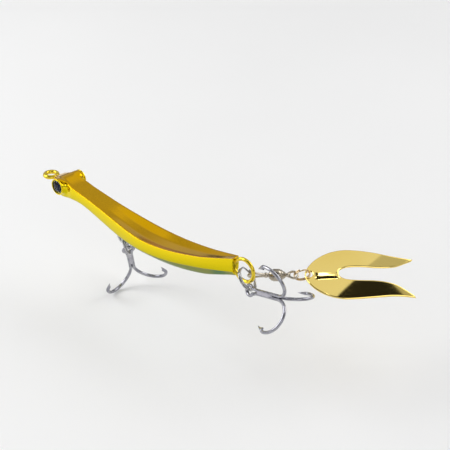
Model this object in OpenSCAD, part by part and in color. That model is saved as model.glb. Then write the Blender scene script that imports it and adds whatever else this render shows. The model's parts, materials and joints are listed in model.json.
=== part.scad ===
// Cast metal spinner lure: a banana-shaped jig body with a nose eye, a belly treble,
// a tail treble and a swivelled two-legged blade on the tail ring.
// Origin: centre of the nose eye. +X runs to the tail, +Z to the back of the lure. Millimetres.

/* [Body] */
// Distance from the nose eye to the tail face
body_end = 80; // [79:0.5:82]
// Depth of the dish along the back
dish_depth = 0.7; // [0:0.1:1]
// Outer radius of each eye socket
socket_r = 2.6; // [2.4:0.1:2.9]
// Radius of each eye disc
eye_r = 2.15; // [1.6:0.05:2.25]

/* [Wire loops] */
// Radius of the nose eye, to the middle of its wire
nose_eye_r = 2.0; // [1.9:0.1:2.3]
// Wire radius of the nose eye
nose_wire_r = 0.68; // [0.6:0.02:0.7]
// Bore radius of the nose eye
nose_bore_r = 1.4; // [1.35:0.05:1.45]
// Wire radius of the tail loop
tail_wire_r = 0.55; // [0.4:0.05:0.6]
// Radius of the tail loop, to the middle of its wire
tail_loop_r = 3.4; // [3.3:0.05:3.6]
// Wire radius of the belly hanger
hanger_wire_r = 0.5; // [0.4:0.05:0.55]

/* [Split rings] */
// Radius of the hook rings, to the middle of the wire
ring_r = 3.35; // [3.2:0.05:3.5]
// Wire diameter of the hook rings
ring_wire = 0.56; // [0.4:0.02:0.6]
// Radius of the blade ring, to the middle of the wire
blade_ring_r = 2.2; // [2.1:0.05:2.4]
// Wire diameter of the blade ring
blade_ring_wire = 0.44; // [0.3:0.02:0.46]

/* [Treble hooks] */
// Wire diameter of the tail treble
hook_wire = 0.95; // [0.8:0.05:1]
// Size of the belly treble over the tail treble
belly_hook_size = 1.13; // [1:0.01:1.2]
// Depth of the barb
barb_depth = 0.45; // [0:0.05:0.6]

/* [Blade] */
// Thickness of the blade sheet
blade_t = 0.6; // [0.4:0.05:0.7]
// Hole in the blade for its ring
blade_hole_r = 0.95; // [0.85:0.05:1]
// Twist of each blade leg, in degrees
leg_twist = 13; // [0:1:20]

/* [Hidden] */
$fn = 48;

gold = [0.86, 0.70, 0.10];
pale_gold = [0.90, 0.76, 0.50];
steel = [0.55, 0.56, 0.58];
cast_fit = 0.02;     // clearance between a cast-in wire and the casting
touch = 0.01;        // gap between pieces that lie against each other

// Stations along the casting: x, back height, half width, lower edge of the side, keel height
stations = [
    [3.2, 0.9, 1.3, -1.0, -1.3],
    [5, 1.7, 2.6, -2.2, -2.8],
    [8, 2.3, 3.5, -3.4, -4.5],
    [12, 1.5, 3.4, -3.0, -4.5],
    [18, 0.4, 3.2, -3.1, -4.6],
    [27, -1.25, 3.5, -5.3, -6.6],
    [37, -3.0, 4.3, -7.3, -9.4],
    [47, -4.1, 4.9, -7.9, -11.0],
    [58, -3.45, 4.3, -7.1, -10.6],
    [69, -1.5, 3.1, -5.1, -8.3],
    [76, 0.4, 2.0, -3.6, -5.6],
    [body_end, 1.6, 1.3, -2.6, -4.1]
];
station_steps = 4;   // rings between two stations
dish_from = 33;
dish_to = 79;

// Eye sockets
eye_x = 8.8;
eye_z = 0.3;
socket_out = 4.9;
socket_floor = 4.1;
backing_t = 0.35;
pupil_r = 1.75;
pupil_t = 0.12;
lens_rise = 0.85;

// Tail loop
tail_loop_at = [83.2, 0, -1.2];
tail_loop_half = 138;            // the loop's arc runs this far to each side of the rear
tail_stem_r = 0.9;               // the twisted legs inside the casting
tail_stem_len = 9;
tail_stem_dip = 18;              // slope of the stem along the casting

// Belly hanger
hanger_bend_r = 2.3;
hanger_at = [33.6, 0, -9.6];
hanger_top = -5;

// Belly ring and treble
belly_ring_at = [33.35, 1.02, -13.06];
belly_ring_normal = [0.60, 0.75, 0.26];
belly_pull = [-0.34, 0.54, -0.77];
belly_shank = [-0.41, 0.44, -0.80];
belly_single = [-0.75, 0.33, 0.57];

// Tail ring and treble
tail_ring_at = [84.4, 0, -3.5];
tail_ring_normal = [0.70, 0.35, 0.62];
tail_hook_side = [0.71, -0.44, -0.56];
swivel_side = [-0.25, 1, -0.14];
tail_shank = [0.93, -0.19, 0.31];
tail_single = [0.26, 0.94, -0.21];
eye_slack = 0.25;                // how far an eye is pulled off centre on its ring

// Treble hook, at the tail treble's size
eye_loop_r = 1.45;
shank_len = 10;
flare = 2.9;
bend_r = 5.0;
bend_stretch = 1.04;
point_len = 3.5;
point_tilt = 21;
hook_sides = 8;
bend_steps = 16;

// Swivel and blade, placed along the trailing line
trail_yaw = 52;
trail_rise = -5;
blade_swing = -8;                // the blade's rest angle on its ring, about its own normal
blade_pitch = 16;                // how far the blade's tips stand off the trailing line
front_eye_roll = 125;
rear_eye_roll = 19;
blade_ring_roll = 112;
blade_roll = 23;
swivel_wire_r = 0.33;
front_loop_r = 1.35;
front_neck_x = 3.3;
rear_loop_r = 1.2;
rear_loop_x = 11.5;
rear_neck_x = 9.8;
front_bead_x = 3.6;
front_bead_r = 0.78;
rear_bead_x = 9.8;
rear_bead_r = 0.62;
neck_half = 0.35;
shaft_r = 0.50;
shaft_fit = 0.05;
head_r = 1.0;
head_len = 0.6;
head_gap = 0.15;                 // end play of each head in the barrel
cavity_r = 1.2;
cavity_from = 5.3;
cavity_to = 8.3;
blade_hole_x = rear_loop_x + eye_slack + 2 * blade_ring_r - 0.1;

// ---- vector helpers ----
function unit(v) = v / norm(v);
function flat(v, n) = unit(v - (v * n) * n);
function smooth(t) = let (u = min(1, max(0, t))) u * u * (3 - 2 * u);

// A Catmull-Rom curve through a list of points
function knot(p, i) = p[min(len(p) - 1, max(0, i))];
function blend(a, b, c, d, t) =
    0.5 * (2 * b + (c - a) * t + (2 * a - 5 * b + 4 * c - d) * t * t
        + (3 * b - a - 3 * c + d) * t * t * t);
function curve(p, steps) = [
    for (i = [0 : len(p) - 2], k = [0 : steps - 1])
        blend(knot(p, i - 1), p[i], p[i + 1], knot(p, i + 2), k / steps),
    p[len(p) - 1]
];

// Turns local X to along and local Z to away from back, then moves to place
module stand(place, along, back) {
    x = unit(along);
    z = -flat(back, x);
    y = cross(z, x);
    multmatrix([
        [x[0], y[0], z[0], place[0]],
        [x[1], y[1], z[1], place[1]],
        [x[2], y[2], z[2], place[2]],
        [0, 0, 0, 1]
    ]) children();
}

// A closed skin through rings of points that all have the same count
function middle(ring) = [for (p = ring) 1] * ring / len(ring);
module skin(rings) {
    n = len(rings[0]);
    m = len(rings);
    walls = [
        for (i = [0 : m - 2], j = [0 : n - 1])
            let (k = (j + 1) % n)
                each [
                    [i * n + j, i * n + k, (i + 1) * n + k],
                    [i * n + j, (i + 1) * n + k, (i + 1) * n + j]
                ]
    ];
    ends = [
        for (j = [0 : n - 1])
            let (k = (j + 1) % n)
                each [[m * n, k, j], [m * n + 1, (m - 1) * n + j, (m - 1) * n + k]]
    ];
    middles = [middle(rings[0]), middle(rings[m - 1])];
    polyhedron(
        points = concat([for (ring = rings) each ring], middles),
        faces = concat(walls, ends)
    );
}

// A wire swept along points. side is a direction that stays off the wire's path.
// sizes holds the radius at each point, and lifts how far one edge stands out there.
function wire_ring(p, t, side, r, lift, n) =
    let (u = flat(side, t), v = cross(t, u))
        [for (j = [0 : n - 1])
            let (a = -360 * j / n, reach = j == 0 ? r + lift : r)
                p + reach * cos(a) * u + r * sin(a) * v];
module wire(path, side, sizes, lifts, n = hook_sides) {
    last = len(path) - 1;
    skin([
        for (i = [0 : last])
            let (t = unit(path[min(last, i + 1)] - path[max(0, i - 1)]))
                wire_ring(path[i], t, side[i], sizes[i], lifts[i], n)
    ]);
}

// ---- cast body ----
// Outline of one cross section, from the middle of the back round to the keel
function dish(x) =
    x <= dish_from || x >= dish_to ? 0
        : dish_depth * pow(sin(180 * (x - dish_from) / (dish_to - dish_from)), 0.7);
function half_section(s) =
    let (top = s[1], w = s[2], low = s[3], keel = s[4], d = dish(s[0]))
        [
            [0, top - d],
            [0.4 * w, top - 0.8 * d],
            [0.7 * w, top - 0.35 * d],
            [0.92 * w, top],
            [w, top - 0.4],
            [w + 0.12, (top + low) / 2],
            [w, low + 0.35],
            [0.92 * w, low],
            [0.5 * w, low + 0.62 * (keel - low)],
            [0.14 * w, keel + 0.08],
            [0, keel]
        ];
function section(s) =
    let (half = half_section(s), last = len(half) - 1)
        concat(
            [for (p = half) [s[0], p[0], p[1]]],
            [for (i = [last - 1 : -1 : 1]) [s[0], -half[i][0], half[i][1]]]
        );

module eye_side(side) {
    translate([eye_x, 0, eye_z]) rotate([side > 0 ? -90 : 90, 0, 0]) children();
}

module socket(side) {
    eye_side(side) {
        translate([0, 0, 1]) cylinder(r = socket_r, h = socket_out - 1);
        translate([0, 0, 1]) cylinder(r1 = socket_r + 0.9, r2 = socket_r, h = 2.6);
    }
}

module body_casting() {
    color(gold) difference() {
        union() {
            skin([for (s = curve(stations, station_steps)) section(s)]);
            socket(1);
            socket(-1);
        }
        for (side = [-1, 1])
            eye_side(side)
                translate([0, 0, socket_floor]) cylinder(r = eye_r + touch, h = 2);
        nose_stem(nose_stem_r + cast_fit, 0);
        hanger_legs(hanger_wire_r + cast_fit);
        tail_shank_wires(cast_fit);
    }
}

// ---- cast-in wires ----
nose_stem_end = 14;
nose_stem_r = nose_wire_r - 0.06;
module nose_stem(r, from) {
    translate([from, 0, 0]) rotate([0, 90, 0]) cylinder(r = r, h = nose_stem_end - from);
}

module line_tie_eye() {
    color(gold) difference() {
        union() {
            rotate_extrude() translate([nose_eye_r, 0]) circle(r = nose_wire_r);
            nose_stem(nose_stem_r, nose_eye_r);
        }
        translate([0, 0, -1]) cylinder(r = nose_bore_r, h = 2);
    }
}

module hanger_legs(r) {
    for (x = [-hanger_bend_r, hanger_bend_r])
        translate(hanger_at + [x, 0, 0]) cylinder(r = r, h = hanger_top - hanger_at[2]);
}

module belly_hanger() {
    color(steel) {
        translate(hanger_at) wire_arc(hanger_bend_r, hanger_wire_r, 180, 180);
        hanger_legs(hanger_wire_r);
    }
}

// The legs of the tail loop run straight on from its arc until they meet, and a twisted
// stem carries on from there into the casting
tail_leg_len = tail_loop_r * tan(180 - tail_loop_half);
tail_meet_x = -tail_loop_r / cos(180 - tail_loop_half);
module tail_shank_wires(gap) {
    translate(tail_loop_at) {
        for (half = [-tail_loop_half, tail_loop_half])
            rotate([0, -half, 0]) translate([tail_loop_r, 0, 0])
                rotate([half > 0 ? 0 : 180, 0, 0])
                    cylinder(r = tail_wire_r + gap, h = tail_leg_len);
        translate([tail_meet_x + tail_stem_r, 0, 0]) rotate([0, -90 - tail_stem_dip, 0])
            cylinder(r = tail_stem_r + gap, h = tail_stem_len);
    }
}

// A round wire bent to an arc in the XZ plane, from angle a over a turn
module wire_arc(bend, r, a, turn) {
    rotate([90, 0, 0]) rotate([0, 0, a]) rotate_extrude(angle = turn)
        translate([bend, 0]) circle(r = r);
}

module tail_loop() {
    color(gold) {
        translate(tail_loop_at)
            wire_arc(tail_loop_r, tail_wire_r, -tail_loop_half, 2 * tail_loop_half);
        tail_shank_wires(0);
    }
}

// ---- eyes ----
module eye_backing(side) {
    color(gold) eye_side(side)
        translate([0, 0, socket_floor]) cylinder(r = eye_r, h = backing_t);
}

module eye_pupil(side) {
    color("black") eye_side(side)
        translate([0, 0, socket_floor + backing_t]) cylinder(r = pupil_r, h = pupil_t);
}

// A shallow dome with a pocket over the pupil
module eye_lens(side) {
    dome_r = (eye_r * eye_r + lens_rise * lens_rise) / (2 * lens_rise);
    color([0.8, 0.9, 1, 0.4]) eye_side(side)
        translate([0, 0, socket_floor + backing_t]) difference() {
            intersection() {
                translate([0, 0, lens_rise - dome_r]) sphere(r = dome_r);
                cylinder(r = eye_r, h = lens_rise + 1);
            }
            translate([0, 0, -1]) cylinder(r = pupil_r + touch, h = 1 + pupil_t + touch);
        }
}

// ---- split rings ----
// Two flat turns joined by one jog. The ends stop either side of the jog.
function ring_lift(a) = smooth((a - 330) / 60) * 2 - 1;
module split_ring(r, d) {
    angles = [for (a = [30 : 7.5 : 690]) a];
    path = [for (a = angles) [r * cos(a), r * sin(a), ring_lift(a) * (d + touch) / 2]];
    color(steel) wire(
        path,
        [for (a = angles) [0, 0, 1]],
        [for (a = angles) d / 2],
        [for (a = angles) 0]
    );
}
module ring_at(place, normal, jog_side) {
    stand(place, flat(jog_side, unit(normal)), -normal) children();
}
function on_ring(place, normal, side) = place + ring_r * flat(side, unit(normal));

module belly_split_ring() {
    ring_at(belly_ring_at, belly_ring_normal, cross(belly_pull, belly_ring_normal))
        split_ring(ring_r, ring_wire);
}

module tail_split_ring() {
    ring_at(tail_ring_at, tail_ring_normal, -tail_hook_side) split_ring(ring_r, ring_wire);
}

// ---- treble hooks ----
// Local frame: eye centre at the origin, shank along +X, paired points at +-60 degrees
// from +Z, single point along -Z.
bundle_r = (hook_wire + touch) / sqrt(3);
tip_r = 0.06;
bend_centre = shank_len + flare;

// Side view of one point, as [distance along the shank, distance off the axis]
function hook_bend() = [
    for (i = [0 : bend_steps])
        let (a = 180 * i / bend_steps)
            [bend_centre + bend_r * bend_stretch * sin(a),
             bundle_r + (bend_r - bundle_r / 2) * (1 - cos(a))]
];
point_cuts = [0.12, 0.30, 0.42, 0.62, 1];
barb_cut = 0.30;
function hook_point() = [
    for (c = point_cuts)
        let (t = c * point_len)
            [bend_centre - t * cos(point_tilt), 2 * bend_r - t * sin(point_tilt)]
];
function point_size(c) = c <= barb_cut ? hook_wire / 2
    : tip_r + (hook_wire / 2 - tip_r) * (1 - c) / (1 - barb_cut) * 0.85;
function shank_side() = [
    for (x = [3.2, 6.5, shank_len]) [x, bundle_r],
    [bend_centre - 1.4, bundle_r + 0.02]
];
function hook_side() = concat(shank_side(), hook_bend(), hook_point());
function hook_sizes() = concat(
    [for (p = concat(shank_side(), hook_bend())) hook_wire / 2],
    [for (c = point_cuts) point_size(c)]
);
function hook_lifts() = concat(
    [for (p = concat(shank_side(), hook_bend())) 0],
    [for (c = point_cuts) c == barb_cut ? barb_depth : 0]
);
function swing(a) = [for (p = hook_side()) [p[0], p[1] * sin(a), p[1] * cos(a)]];
// Inner side of the bend at each point, where the barb stands out
function inward(a) = [
    for (i = [0 : len(hook_side()) - 1])
        let (
            s = hook_side(),
            d = s[min(len(s) - 1, i + 1)] - s[max(0, i - 1)],
            q = unit([d[1], -d[0]])
        )
            [-q[0], -q[1] * sin(a), -q[1] * cos(a)]
];
function reverse(v) = [for (i = [len(v) - 1 : -1 : 0]) v[i]];

// The eye loop between the two paired shanks
loop_open = 38;
function eye_path() = [
    for (a = [loop_open : 17.75 : 360 - loop_open])
        [eye_loop_r * cos(a), eye_loop_r * sin(a), bundle_r * cos(60)]
];
function eye_inward() = [for (p = eye_path()) -unit([p[0], p[1], 0])];

module treble_pair() {
    loop = eye_path();
    path = concat(reverse(swing(60)), loop, swing(-60));
    side = concat(reverse(inward(60)), eye_inward(), inward(-60));
    loop_sizes = [for (p = loop) hook_wire / 2];
    loop_lifts = [for (p = loop) 0];
    color(steel) wire(
        path,
        side,
        concat(reverse(hook_sizes()), loop_sizes, hook_sizes()),
        concat(reverse(hook_lifts()), loop_lifts, hook_lifts())
    );
}

module treble_single() {
    color(steel) wire(swing(180), inward(180), hook_sizes(), hook_lifts());
}

// Three fillets of braze in the grooves between the shanks
braze_r = 0.85;
braze_from = 3.4;
braze_to = 10.4;
module treble_braze() {
    color(steel) translate([braze_from, 0, 0]) rotate([0, 90, 0])
        linear_extrude(height = braze_to - braze_from) difference() {
            circle(r = braze_r);
            circle(r = bundle_r - 0.2);
            for (a = [60, 180, 300])
                rotate(a) translate([-bundle_r, 0]) circle(r = hook_wire / 2 + touch);
        }
}

tail_treble_at = on_ring(tail_ring_at, tail_ring_normal, tail_hook_side)
    + eye_slack * unit(tail_shank);
module tail_treble_frame() {
    stand(tail_treble_at, tail_shank, tail_single) children();
}
belly_treble_at = on_ring(belly_ring_at, belly_ring_normal, belly_pull)
    + eye_slack * unit(belly_shank);
module belly_treble_frame() {
    stand(belly_treble_at, belly_shank, belly_single) scale(belly_hook_size) children();
}

module belly_treble_pair() { belly_treble_frame() treble_pair(); }
module belly_treble_single() { belly_treble_frame() treble_single(); }
module belly_treble_braze() { belly_treble_frame() treble_braze(); }
module tail_treble_pair() { tail_treble_frame() treble_pair(); }
module tail_treble_single() { tail_treble_frame() treble_single(); }
module tail_treble_braze() { tail_treble_frame() treble_braze(); }

// ---- swivel ----
trail_dir = [cos(trail_rise) * cos(trail_yaw), cos(trail_rise) * sin(trail_yaw), sin(trail_rise)];
trail_at = on_ring(tail_ring_at, tail_ring_normal, swivel_side) + eye_slack * trail_dir;
module trail(roll) {
    translate(trail_at) rotate([0, -trail_rise, trail_yaw]) rotate([roll, 0, 0]) children();
}

// A pear-shaped wire eye: a round loop drawn in to a neck. neck is from the loop's centre.
pear_step = 12;
module pear_eye(loop_r, neck) {
    away = atan2(neck_half, abs(neck)) + acos(loop_r / norm([neck, neck_half]));
    turn = 360 - 2 * away;
    n = ceil(turn / pear_step);
    path = concat(
        [[abs(neck), neck_half, 0]],
        [for (i = [0 : n]) let (a = away + turn * i / n) loop_r * [cos(a), sin(a), 0]],
        [[abs(neck), -neck_half, 0]]
    );
    rotate([0, 0, neck > 0 ? 0 : 180]) wire(
        path,
        [for (p = path) [0, 0, 1]],
        [for (p = path) swivel_wire_r],
        [for (p = path) 0],
        10
    );
}

// A turned pin: a bead outside the barrel, a shaft through its end and a head inside.
// away is 1 where the head lies at larger x than the bead, else -1.
bead_step = 24;
module swivel_pin(bead_x, bead_r, head_x, away) {
    shaft_from = 180 - asin(shaft_r / bead_r);
    steps = floor(shaft_from / bead_step);
    bead = [for (i = [0 : steps]) let (a = shaft_from * i / steps) bead_r * [sin(a), -cos(a)]];
    reach = abs(head_x - bead_x);
    translate([bead_x, 0, 0]) rotate([0, 90 * away, 0]) rotate_extrude()
        polygon(concat(bead, [
            [shaft_r, reach], [head_r, reach], [head_r, reach + head_len], [0, reach + head_len]
        ]));
}

module swivel_front_eye() {
    color(steel) trail(front_eye_roll) {
        pear_eye(front_loop_r, front_neck_x);
        swivel_pin(front_bead_x, front_bead_r, cavity_from + head_gap, 1);
    }
}

module swivel_rear_eye() {
    color(steel) trail(rear_eye_roll) {
        translate([rear_loop_x, 0, 0]) pear_eye(rear_loop_r, rear_neck_x - rear_loop_x);
        swivel_pin(rear_bead_x, rear_bead_r, cavity_to - head_gap, -1);
    }
}

// Turned barrel with crimped ends: outline as [x, radius]
barrel_outline = [
    [4.5, 0], [4.5, 0.9], [4.8, 1.15], [5.2, 1.55], [5.8, 1.75], [7.4, 1.75],
    [8.0, 1.55], [8.7, 1.05], [9.1, 0.85], [9.1, 0]
];
module swivel_barrel() {
    color(steel) trail(0) rotate([0, 90, 0]) difference() {
        rotate_extrude() polygon([for (p = barrel_outline) [p[1], p[0]]]);
        translate([0, 0, cavity_from]) cylinder(r = cavity_r, h = cavity_to - cavity_from);
        cylinder(r = shaft_r + shaft_fit, h = 12);
    }
}

module blade_split_ring() {
    trail(blade_ring_roll) translate([rear_loop_x + eye_slack + blade_ring_r, 0, 0])
        rotate([0, 0, 90]) split_ring(blade_ring_r, blade_ring_wire);
}

// ---- blade ----
// Outer and inner edge of one leg from the root to the tip, from the hole's centre
outer_edge = [
    [-1.3, 0], [-0.9, 1.8], [1.4, 4.9], [5, 7.3], [9, 8.3], [13, 8.1],
    [18, 7.4], [22.5, 6.7], [26.5, 6.4], [29, 6.4]
];
inner_edge = [
    [8.2, 0], [8.5, 1.0], [10, 2.0], [12.5, 2.4], [15, 2.5], [18, 2.5],
    [21, 2.7], [24, 3.3], [26.8, 4.7], [28.7, 5.8]
];
blade_cols = 3;
blade_rows = 6;
blade_half = 8.3;
crown = 0.5;
sweep = 4.5;
leg_middle = 4.8;
function blade_crown(x, y) =
    -crown * pow(y / blade_half, 2) - sweep * pow(max(0, x - 3) / 26, 2);
function leg_rise(x, y, side) =
    side * tan(leg_twist) * smooth((x - 4) / 18) * (abs(y) - leg_middle);
function blade_grid(side) =
    let (o = curve(outer_edge, blade_cols), n = curve(inner_edge, blade_cols))
        [
            for (i = [0 : len(o) - 1])
                [for (j = [0 : blade_rows])
                    let (p = n[i] + (o[i] - n[i]) * j / blade_rows)
                        [p[0], side * p[1],
                         blade_crown(p[0], p[1]) + leg_rise(p[0], p[1], side)]]
        ];
module blade_sheet() {
    right = blade_grid(-1);
    left = blade_grid(1);
    rows = concat(reverse(right), [for (i = [1 : len(left) - 1]) left[i]]);
    skin([
        for (row = rows)
            concat(
                [for (p = row) p + [0, 0, blade_t / 2]],
                [for (p = reverse(row)) p - [0, 0, blade_t / 2]]
            )
    ]);
}

module spinner_blade() {
    color(pale_gold) trail(blade_roll) translate([blade_hole_x, 0, 0])
        rotate([0, -blade_pitch, blade_swing]) difference() {
            blade_sheet();
            translate([0, 0, -2]) cylinder(r = blade_hole_r, h = 4);
        }
}

body_casting();
line_tie_eye();
belly_hanger();
tail_loop();
eye_backing(-1);  // left_eye_backing
eye_pupil(-1);  // left_eye_pupil
eye_lens(-1);  // left_eye_lens
eye_backing(1);  // right_eye_backing
eye_pupil(1);  // right_eye_pupil
eye_lens(1);  // right_eye_lens
belly_split_ring();
belly_treble_pair();
belly_treble_single();
belly_treble_braze();
tail_split_ring();
tail_treble_pair();
tail_treble_single();
tail_treble_braze();
swivel_front_eye();
swivel_barrel();
swivel_rear_eye();
blade_split_ring();
spinner_blade();
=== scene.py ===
"""Looks for the cast spinner lure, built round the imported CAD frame.

Blender works in metres. Shapes are worked out here in millimetres and scaled by MM as each mesh
is made. Places come from the frame's joints and boxes, and the directions in which the rings,
hooks and swivel lie are the design's own.
"""

import json
import math

import bmesh
import bpy
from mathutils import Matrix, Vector, geometry


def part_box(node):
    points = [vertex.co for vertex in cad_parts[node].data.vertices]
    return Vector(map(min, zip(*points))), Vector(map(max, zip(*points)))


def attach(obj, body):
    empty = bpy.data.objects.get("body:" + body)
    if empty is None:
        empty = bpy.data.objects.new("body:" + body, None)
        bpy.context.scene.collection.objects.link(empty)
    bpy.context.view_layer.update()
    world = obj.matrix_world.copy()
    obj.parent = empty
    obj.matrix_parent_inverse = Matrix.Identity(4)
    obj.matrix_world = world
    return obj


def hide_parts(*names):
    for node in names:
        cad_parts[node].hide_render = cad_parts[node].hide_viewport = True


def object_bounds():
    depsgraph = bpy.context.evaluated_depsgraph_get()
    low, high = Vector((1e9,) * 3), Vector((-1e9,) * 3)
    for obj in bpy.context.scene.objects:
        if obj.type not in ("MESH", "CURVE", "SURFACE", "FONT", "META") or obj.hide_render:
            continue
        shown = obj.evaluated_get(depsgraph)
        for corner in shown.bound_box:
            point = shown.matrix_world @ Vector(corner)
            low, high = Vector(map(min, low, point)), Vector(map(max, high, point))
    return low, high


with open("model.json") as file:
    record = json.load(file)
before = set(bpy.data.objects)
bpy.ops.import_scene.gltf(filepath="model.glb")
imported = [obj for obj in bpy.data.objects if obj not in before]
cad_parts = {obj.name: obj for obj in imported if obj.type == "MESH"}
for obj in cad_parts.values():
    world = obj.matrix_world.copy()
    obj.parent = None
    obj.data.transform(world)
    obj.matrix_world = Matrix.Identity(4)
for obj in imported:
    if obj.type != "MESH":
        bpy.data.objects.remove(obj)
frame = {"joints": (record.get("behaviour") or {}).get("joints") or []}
cad_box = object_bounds()

MM = 0.001
TOUCH = 0.01  # gap between pieces that lie against each other
SUNK = 0.02  # how far the lens is sunk into what it covers, so that no air shows in between
JOINTS = {joint["name"]: joint for joint in frame["joints"]}


# ---- places in the frame ----
def joint_at(name):
    return Vector(JOINTS[name]["pos_m"]) / MM


def box(node):
    low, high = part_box(node)
    return low / MM, high / MM


def flat(v, normal):
    """v without its part along normal, at unit length."""
    v, normal = Vector(v), Vector(normal).normalized()
    return (v - v.dot(normal) * normal).normalized()


def smooth(t):
    t = min(1.0, max(0.0, t))
    return t * t * (3 - 2 * t)


def steps(low, high, count):
    """count + 1 evenly spaced numbers from low to high."""
    return [low + (high - low) * i / count for i in range(count + 1)]


class Place:
    """A local frame: X lies along one direction, and -Z near another."""

    def __init__(self, origin, along, back, scale=1.0):
        self.origin = Vector(origin)
        self.x = Vector(along).normalized()
        self.z = -flat(back, self.x)
        self.y = self.z.cross(self.x)
        self.scale = scale

    def turn(self, v):
        return self.x * v[0] + self.y * v[1] + self.z * v[2]

    def at(self, p):
        return self.origin + self.scale * self.turn(p)


# ---- curves ----
def circle(count):
    """Angles evenly round a circle."""
    return [2 * math.pi * j / count for j in range(count)]


def between(points, i, t):
    """A Catmull-Rom curve at t, on its way from point i to the next."""
    last = len(points) - 1
    a, b, c, d = (points[min(last, max(0, i + k))] for k in (-1, 0, 1, 2))
    bend = (2 * a - 5 * b + 4 * c - d) * t ** 2 + (3 * b - a - 3 * c + d) * t ** 3
    return 0.5 * (2 * b + (c - a) * t + bend)


def curve(points, count):
    """A Catmull-Rom curve with count steps between each two points."""
    made = [between(points, i, k / count) for i in range(len(points) - 1) for k in range(count)]
    return made + [points[-1]]


def arc(centre_x, radius, start, end, count):
    """Points on an arc between two angles in degrees, round a centre on the X axis."""
    angles = [math.radians(a) for a in steps(start, end, count)]
    return [(centre_x + radius * math.cos(a), radius * math.sin(a)) for a in angles]


# ---- meshes ----
def loft(rings, looped=False):
    """A skin through rings of points, closed by two fans or, if looped, by its first ring."""
    n, m = len(rings[0]), len(rings)
    points = [p for ring in rings for p in ring]
    faces = []
    for i in range(m if looped else m - 1):
        for j in range(n):
            k, after = (j + 1) % n, (i + 1) % m
            faces.append((i * n + j, i * n + k, after * n + k, after * n + j))
    if looped:
        return points, faces
    for ring, base, forward in ((rings[0], 0, False), (rings[-1], (m - 1) * n, True)):
        centre = len(points)
        points.append(sum(ring, Vector()) / n)
        for j in range(n):
            k = (j + 1) % n
            near, far = (base + j, base + k) if forward else (base + k, base + j)
            faces.append((centre, near, far))
    return points, faces


WIRE_SIDES = 20
BARB_SHARPNESS = 6


def wire(path, side, radii, lifts, sides):
    """A round wire along path. The side vectors keep one edge in place, and lifts raises it."""
    last = len(path) - 1
    rings = []
    for i, p in enumerate(path):
        t = (path[min(last, i + 1)] - path[max(0, i - 1)]).normalized()
        u = flat(side[i], t)
        v = t.cross(u)
        ring = []
        for a in circle(sides):
            reach = radii[i] + lifts[i] * max(0.0, math.cos(a)) ** BARB_SHARPNESS
            ring.append(p + reach * math.cos(a) * u + radii[i] * math.sin(a) * v)
        rings.append(ring)
    return loft(rings)


DOME_ANGLES = (85, 65, 45, 25)


def round_wire(path, side, radius, sides=WIRE_SIDES):
    """A wire of one radius with domed ends."""
    start = (path[0] - path[1]).normalized()
    end = (path[-1] - path[-2]).normalized()
    turns = [math.radians(a) for a in DOME_ANGLES]
    domes = [(radius * math.sin(a), radius * math.cos(a)) for a in turns]
    head = [(path[0] + start * reach, size) for reach, size in domes]
    tail = [(path[-1] + end * reach, size) for reach, size in reversed(domes)]
    points = [p for p, _ in head] + list(path) + [p for p, _ in tail]
    radii = [size for _, size in head] + [radius] * len(path) + [size for _, size in tail]
    n = len(points)
    return wire(points, [side] * n, radii, [0.0] * n, sides)


def lathe(profile, place, sides, looped=False):
    """Turns a list of (distance along X, radius) about the local X axis."""
    around = [(math.cos(a), math.sin(a)) for a in circle(sides)]
    rings = [[place.at((x, r * y, r * z)) for y, z in around] for x, r in profile]
    return loft(rings, looped)


TORUS_STEPS = 72


def torus(place, radius, wire_r):
    """A closed ring of wire round the local X axis."""
    profile = [(y, x) for x, y in arc(radius, wire_r, 0, 360, WIRE_SIDES)[:-1]]
    return lathe(profile, place, TORUS_STEPS, looped=True)


SHARP_ANGLE = math.radians(38)


def add_object(name, data):
    made = bpy.data.objects.new(name, data)
    bpy.context.scene.collection.objects.link(made)
    return made


def stand_in(name, mesh, body, node):
    """Puts a mesh in the scene that rides on a body and stands for a CAD node."""
    made = add_object(name, mesh)
    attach(made, body)
    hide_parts(node)
    return made


def piece(name, shells, material, body, node):
    """Joins shells of (points, faces) into one object that stands for a CAD node."""
    points, faces = [], []
    for shell_points, shell_faces in shells:
        base = len(points)
        points += [p * MM for p in shell_points]
        faces += [tuple(base + i for i in face) for face in shell_faces]
    mesh = bpy.data.meshes.new(name)
    mesh.from_pydata(points, [], faces)
    mesh.validate()
    mesh.shade_smooth()
    mesh.set_sharp_from_angle(angle=SHARP_ANGLE)
    mesh.materials.append(material)
    return stand_in(name, mesh, body, node)


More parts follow.
